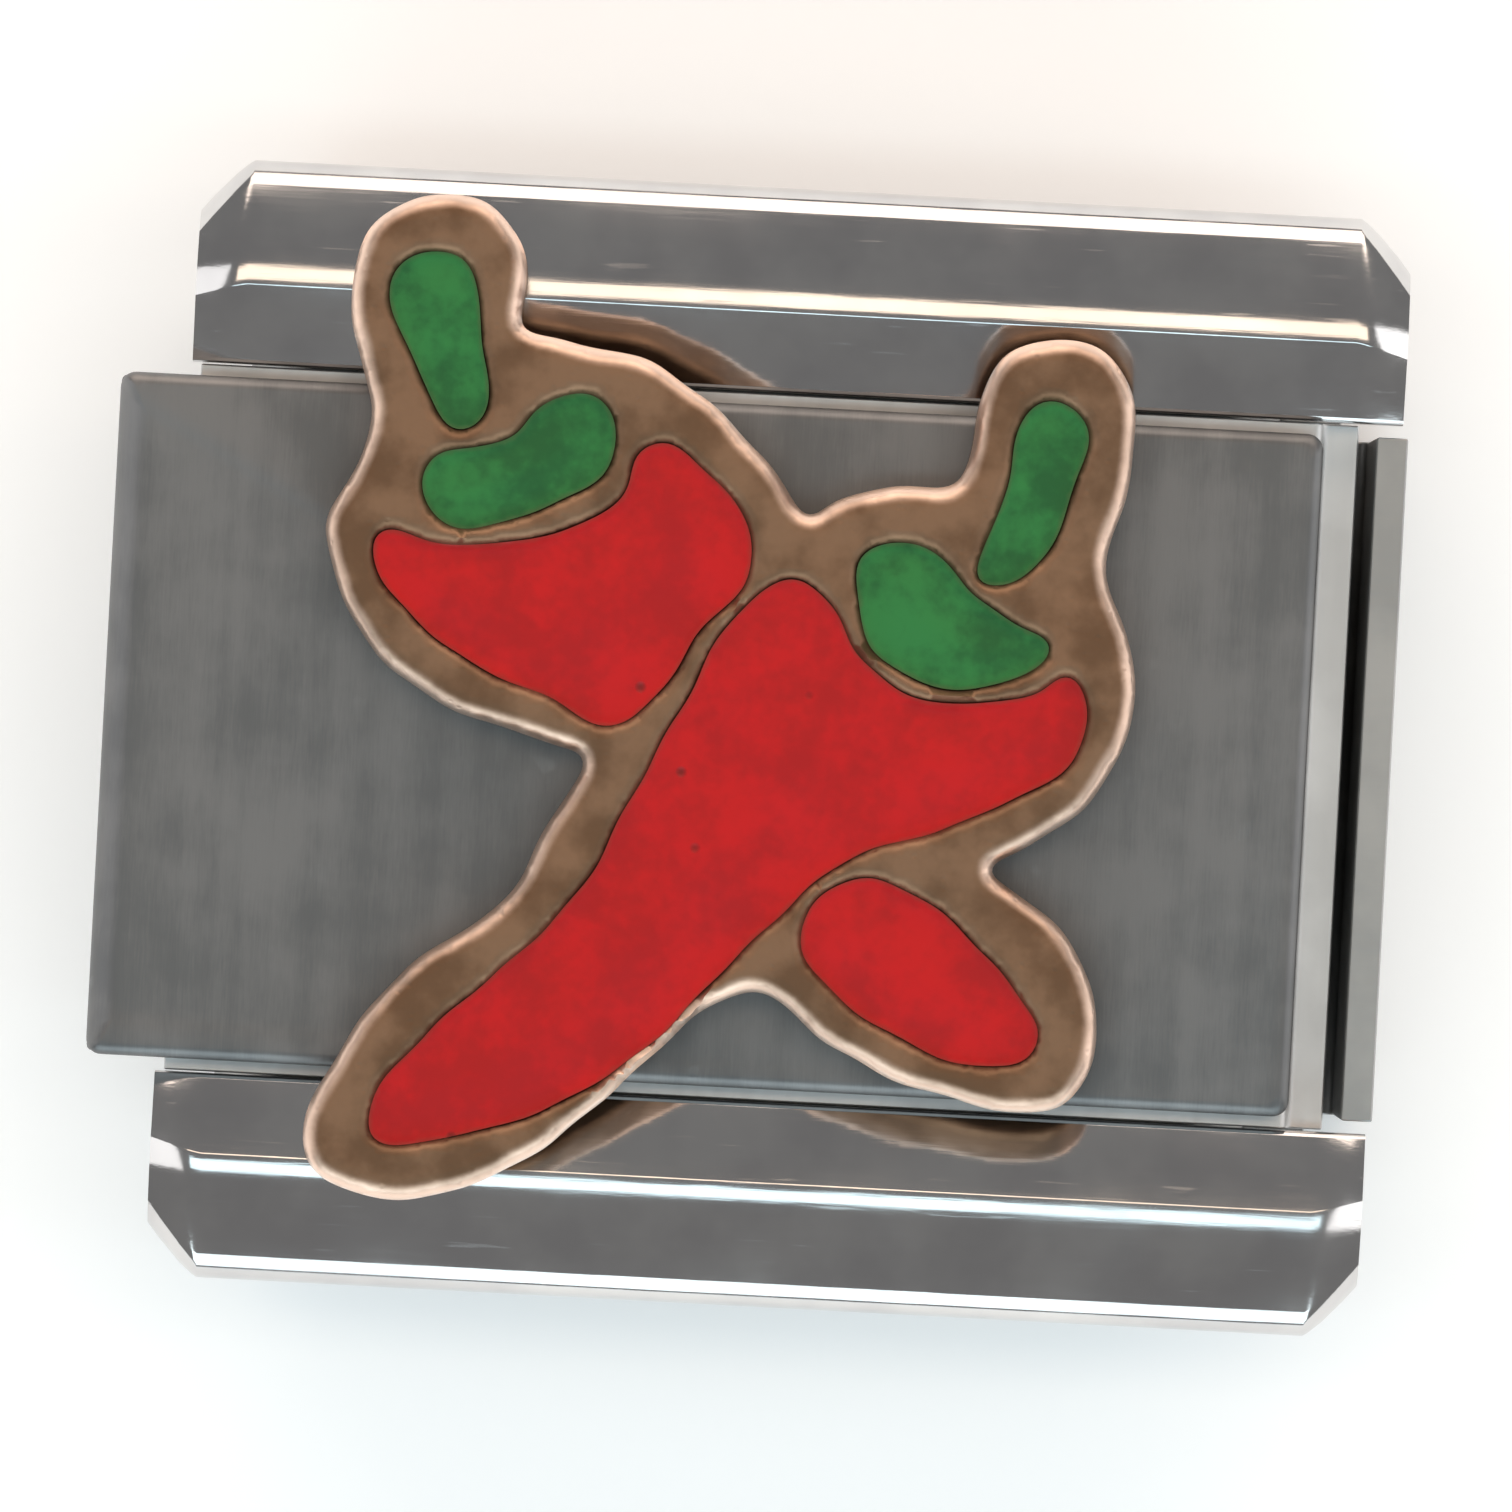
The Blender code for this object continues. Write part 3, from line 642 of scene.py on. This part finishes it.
# Rail section carried along X; near the ends it narrows and falls away on a soft crease.
def makeRail(name, side):
    low, high = nodeBox("link_body")
    length, outer, top, foot = high[0], high[1], high[2], low[2]
    fall, middle = railSettings["endLength"], length - railSettings["middleMargin"]
    ramp = np.array([0.0, 0.02, 0.10, 0.35, 0.75, 1.0])
    inset = railSettings["endCut"] * ramp ** 1.25
    along = length - fall + fall * ramp
    drop = railSettings["endDrop"] * ramp ** 1.4
    stations = [(-x, i, d) for x, i, d in zip(along[::-1], inset[::-1], drop[::-1])]
    between = np.linspace(-middle, middle, railSettings["middleStations"] + 2)[1:-1]
    stations += [(x, 0.0, 0.0) for x in between]
    stations += list(zip(along, inset, drop))
    rings = []
    for x, narrowed, dropped in stations:
        ring = railRing(narrowed, dropped, top, outer, foot)
        rings.append(np.column_stack((np.full(len(ring), x), side * ring[:, 0], ring[:, 1])))
    points = np.concatenate(rings)
    faces = orient(points, ringGrid(len(rings), len(rings[0])))
    rail = makePiece(name, points, faces, "polished", "upper_link", 32.0)
    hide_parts("link_body")


floorSettings = {
    "left": -4.80, "top": 2.66, "sheet": 0.28, "ledgeTop": 2.32, "ledgeLength": 0.30, "bend": 0.06,
    "outerBend": 0.10, "stepWall": 0.32, "sideGap": 0.01, "edgeRound": 0.02,
}


# Channel floor with its step down to the ledge, an outline in X and Z with arcs at its bends.
def makeFloor():
    end = nodeBox("face_plate")[1][0]
    left, top, sheet = floorSettings["left"], floorSettings["top"], floorSettings["sheet"]
    ledgeEnd, ledgeTop = end + floorSettings["ledgeLength"], floorSettings["ledgeTop"]
    bend, outerBend, inner = floorSettings["bend"], floorSettings["outerBend"], end - floorSettings["stepWall"]
    under = ledgeTop - sheet
    outline = np.concatenate((
        [(left, top - sheet), (inner, top - sheet), (inner, under + outerBend)],
        arc((inner + outerBend, under + outerBend), outerBend, 180.0, 270.0, 5),
        [(ledgeEnd, under), (ledgeEnd, ledgeTop)],
        arc((end + bend, ledgeTop + bend), bend, 270.0, 180.0, 5),
        arc((end - bend, top - bend), bend, 0.0, 90.0, 5),
        [(left, top)],
    ))
    half = railSettings["inner"] - floorSettings["sideGap"]
    points, faces = carryOutline(outline, -half, half)
    floor = makePiece("channelFloor", points, faces, "bright", "upper_link")
    addBevel(floor, floorSettings["edgeRound"], 2, 50.0)
    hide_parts("link_body")


makeRail("railTop", 1.0)
makeRail("railBottom", -1.0)
makeFloor()
print("link body made")


# Run of square corners (x, z, radius), each turned on a quarter circle.
def foldPath(corners, steps=12):
    path = []
    for index, (x, z, radius) in enumerate(corners):
        spot = np.array((x, z))
        if radius == 0.0:
            path.append(spot[None, :])
            continue
        before = np.array(corners[index - 1][:2]) - spot
        after = np.array(corners[index + 1][:2]) - spot
        before = before / np.linalg.norm(before)
        after = after / np.linalg.norm(after)
        turn = np.linspace(0.0, 0.5 * math.pi, steps + 1)[:, None]
        centre = spot + radius * (before + after)
        path.append(centre - radius * (after * np.cos(turn) + before * np.sin(turn)))
    return np.concatenate(path)


# Folded path carried along Y and given its thickness inwards; tab = (from x, half width).
def makeFoldedSheet(name, node, corners, halfWidth, thickness, body, tab=None):
    path = foldPath(corners)
    rows = [-halfWidth, halfWidth] if tab is None else [-halfWidth, -tab[1], tab[1], halfWidth]
    x, z = path[:, 0], path[:, 1]
    points = np.concatenate([np.column_stack((x, np.full(len(path), y), z)) for y in rows])
    count = len(path)
    faces = []
    for row in range(len(rows) - 1):
        aside = tab is not None and row != 1
        for index in range(count - 1):
            if aside and 0.5 * (path[index, 0] + path[index + 1, 0]) > tab[0]:
                continue
            faces.append([row * count + index, row * count + index + 1,
                          (row + 1) * count + index + 1, (row + 1) * count + index])
    used = sorted({corner for face in faces for corner in face})
    renumber = {old: new for new, old in enumerate(used)}
    faces = [[renumber[corner] for corner in face] for face in faces]
    points = points[used]
    middle = points.mean(axis=0)
    outwards = 0.0
    for face in faces:
        a, b, c = points[face[0]], points[face[1]], points[face[2]]
        outwards += float(np.dot(np.cross(b - a, c - a), a - middle))
    if outwards < 0.0:
        faces = [face[::-1] for face in faces]
    piece = makePiece(name, points, faces, "case", body)
    wall = piece.modifiers.new("sheet", "SOLIDIFY")
    wall.thickness = thickness * mm
    wall.offset = -1.0
    wall.use_even_offset = True
    addBevel(piece, 0.035, 2, 50.0)
    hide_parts(node)


caseSettings = {
    "upperSheet": 0.20, "slotHalf": 1.2, "lowerSheet": 0.25, "lowerTop": 1.20, "flangeAt": 3.6,
    "flangeFoot": 0.30, "flangeRadius": 0.30, "latchFrom": 4.45, "latchHalf": 2.75, "latchRadius": 0.35,
}


# Flat tube with full round sides and a slot left open along its underside.
def makeUpperCase():
    low, high = nodeBox("upper_case")
    fold, slot = 0.5 * (high[2] - low[2]), caseSettings["slotHalf"]
    corners = [
        (-slot, low[2], 0.0), (low[0], low[2], fold), (low[0], high[2], fold),
        (high[0], high[2], fold), (high[0], low[2], fold), (slot, low[2], 0.0),
    ]
    makeFoldedSheet("upperCaseSheet", "upper_case", corners, high[1], caseSettings["upperSheet"], "upper_link")


# Flange, top, full round left side, floor, and the narrower latch lip standing up at the right.
def makeLowerCase():
    low, high = nodeBox("lower_case")
    top, flange, latch = caseSettings["lowerTop"], caseSettings["flangeAt"], caseSettings["latchFrom"]
    corners = [
        (flange, caseSettings["flangeFoot"], 0.0), (flange, top, caseSettings["flangeRadius"]),
        (low[0], top, 0.5 * top), (low[0], low[2], 0.5 * top), (latch, low[2], 0.0),
        (high[0], low[2], caseSettings["latchRadius"]), (high[0], high[2], 0.0),
    ]
    makeFoldedSheet("lowerCaseSheet", "lower_case", corners, high[1], caseSettings["lowerSheet"], "lower_link",
                    (latch, caseSettings["latchHalf"]))


makeUpperCase()
makeLowerCase()
print("cases made")


# Brackets, springs and solder keep their CAD shape and get these finishes
keptNodes = {
    "bracket_top": "case", "bracket_bottom": "case", "upper_spring": "spring", "lower_spring": "spring",
    "solder_pad_1": "solder", "solder_pad_2": "solder",
}
for node, finish in keptNodes.items():
    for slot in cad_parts[node].material_slots:
        slot.material = finishes[finish]
print("CAD nodes finished:", len(keptNodes))


stageSettings = {"halfSize": 0.4, "below": 0.00002, "glow": 0.16}


# Pale floor just under the link, lifted towards white by a little light of its own.
def makeStage():
    size = stageSettings["halfSize"]
    corners = [(-size, -size, 0.0), (size, -size, 0.0), (size, size, 0.0), (-size, size, 0.0)]
    mesh = bpy.data.meshes.new("studioFloor")
    mesh.from_pydata(corners, [], [[0, 1, 2, 3]])
    made = Finish("paleFloor", Emission_Color=(1.0, 1.0, 1.0, 1.0), Emission_Strength=stageSettings["glow"])
    tone = made.noise(0.02, 2.0)
    mesh.materials.append(made.finish(made.mix(tone, (0.93, 0.93, 0.93), (0.95, 0.95, 0.95)), 0.8))
    floor = bpy.data.objects.new("studioFloor", mesh)
    bpy.context.scene.collection.objects.link(floor)
    floor.location.z = -stageSettings["below"]


# Each lamp: colour, place, size, and its brightness as a mirror would show it
lightSettings = {
    "warmStrip": ((1.0, 0.80, 0.62), (0.0, 0.046, 0.300), (0.34, 0.046), 2.0),
    "coolStrip": ((0.70, 0.92, 1.0), (0.0, -0.046, 0.300), (0.34, 0.036), 2.2),
    "warmSide": ((1.0, 0.84, 0.72), (0.0, 0.170, 0.100), (0.34, 0.17), 2.1),
    "coolSide": ((0.80, 0.95, 1.0), (0.0, -0.170, 0.095), (0.34, 0.16), 2.1),
    "leftSide": ((1.0, 1.0, 1.0), (-0.190, 0.0, 0.080), (0.24, 0.11), 1.2),
    "rightSide": ((1.0, 1.0, 1.0), (0.190, 0.0, 0.080), (0.24, 0.11), 1.5),
}


# Power of a lamp = brightness times pi times its area.
def makeLights():
    for name, (colour, place, size, brightness) in lightSettings.items():
        light = bpy.data.lights.new(name, "AREA")
        light.shape = "RECTANGLE"
        light.size, light.size_y = size
        light.energy = brightness * math.pi * size[0] * size[1]
        light.color = colour
        lamp = bpy.data.objects.new(name, light)
        bpy.context.scene.collection.objects.link(lamp)
        lamp.location = place
        upAxis = "X" if place[0] != 0.0 else "Y"
        lamp.rotation_euler = (-Vector(place)).to_track_quat("-Z", upAxis).to_euler()
    world = bpy.data.worlds.new("studioAir")
    world.use_nodes = True
    world.node_tree.nodes["Background"].inputs["Color"].default_value = (0.22, 0.22, 0.22, 1.0)
    world.node_tree.nodes["Background"].inputs["Strength"].default_value = 1.0
    bpy.context.scene.world = world


cameraSettings = {
    "place": (-0.000181, -0.000074, 0.150), "frameWidth": 0.012125, "turn": 3.05, "nearest": 0.0005,
}


# Looks straight down on the face, turned a little, with its frame width measured at rail height.
def makeCamera():
    camera = bpy.data.cameras.new("lookDown")
    distance = cameraSettings["place"][2] - nodeBox("link_body")[1][2] * mm
    camera.sensor_width = 36.0
    camera.lens = camera.sensor_width * distance / cameraSettings["frameWidth"]
    camera.clip_start = cameraSettings["nearest"]
    camera.clip_end = 10.0
    eye = bpy.data.objects.new("lookDown", camera)
    bpy.context.scene.collection.objects.link(eye)
    eye.location = cameraSettings["place"]
    eye.rotation_euler = (0.0, 0.0, math.radians(cameraSettings["turn"]))
    bpy.context.scene.camera = eye


makeStage()
makeLights()
makeCamera()
bpy.context.scene.view_settings.view_transform = "Standard"
print("stage, lights and camera set")
